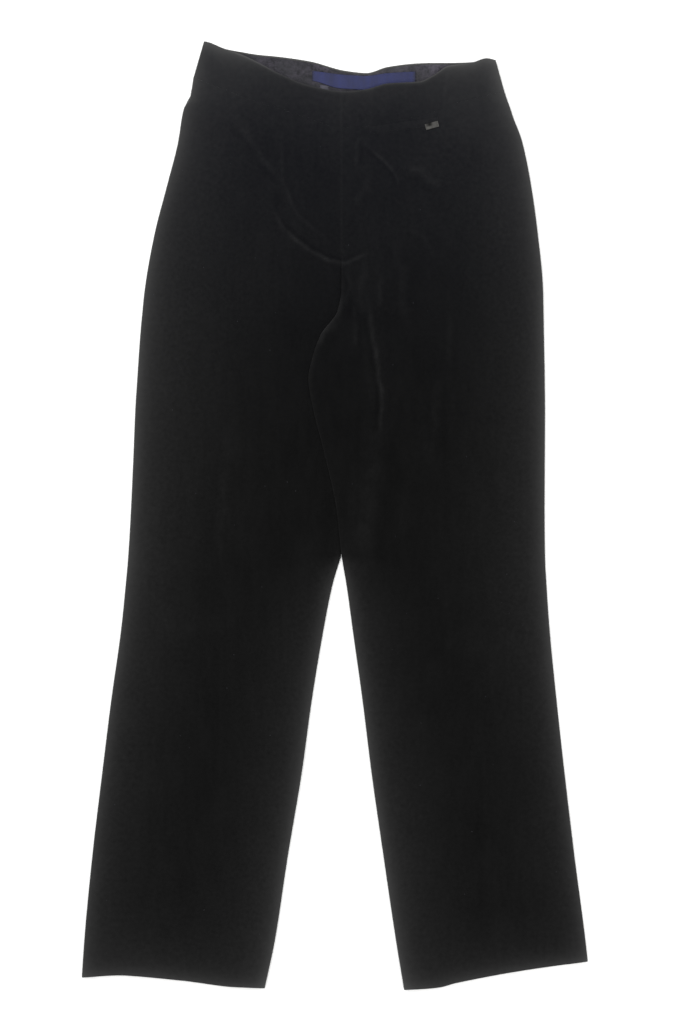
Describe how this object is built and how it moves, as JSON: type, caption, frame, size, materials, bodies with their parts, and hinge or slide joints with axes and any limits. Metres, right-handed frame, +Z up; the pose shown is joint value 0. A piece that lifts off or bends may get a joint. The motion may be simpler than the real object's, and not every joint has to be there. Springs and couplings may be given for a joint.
{
  "type": "trousers",
  "caption": "Women's straight velvet trousers laid flat with the front up: waistband with an inside facing, a narrow welt pocket with a small bare tab, and open hems.",
  "frame": {"origin": "middle of the garment's box, at the surface that the back rests on", "axes": "+X to the wearer's left, +Y towards the waist, +Z up off the surface"},
  "size_m": [0.5714, 1.0702, 0.009],
  "materials": {
    "velvet": "short dense pile, near-black with a cool cast, lighter where the pile is crushed or turns away",
    "facing": "mottled grey-lilac woven facing",
    "label": "bare blue satin-woven label",
    "size_label": "bare pale grey woven label",
    "tab": "bare grey satin-woven tab"
  },
  "bodies": {
    "root": {"front_right": "velvet", "front_left": "velvet", "back_right": "velvet", "back_left": "velvet", "waistband_front_right": "velvet", "waistband_front_left": "velvet", "waistband_back": "velvet", "waistband_facing": "facing", "inner_label": "label", "size_label": "size_label", "pocket_welt": "velvet", "front_tab": "tab"}
  },
  "joints": []
}
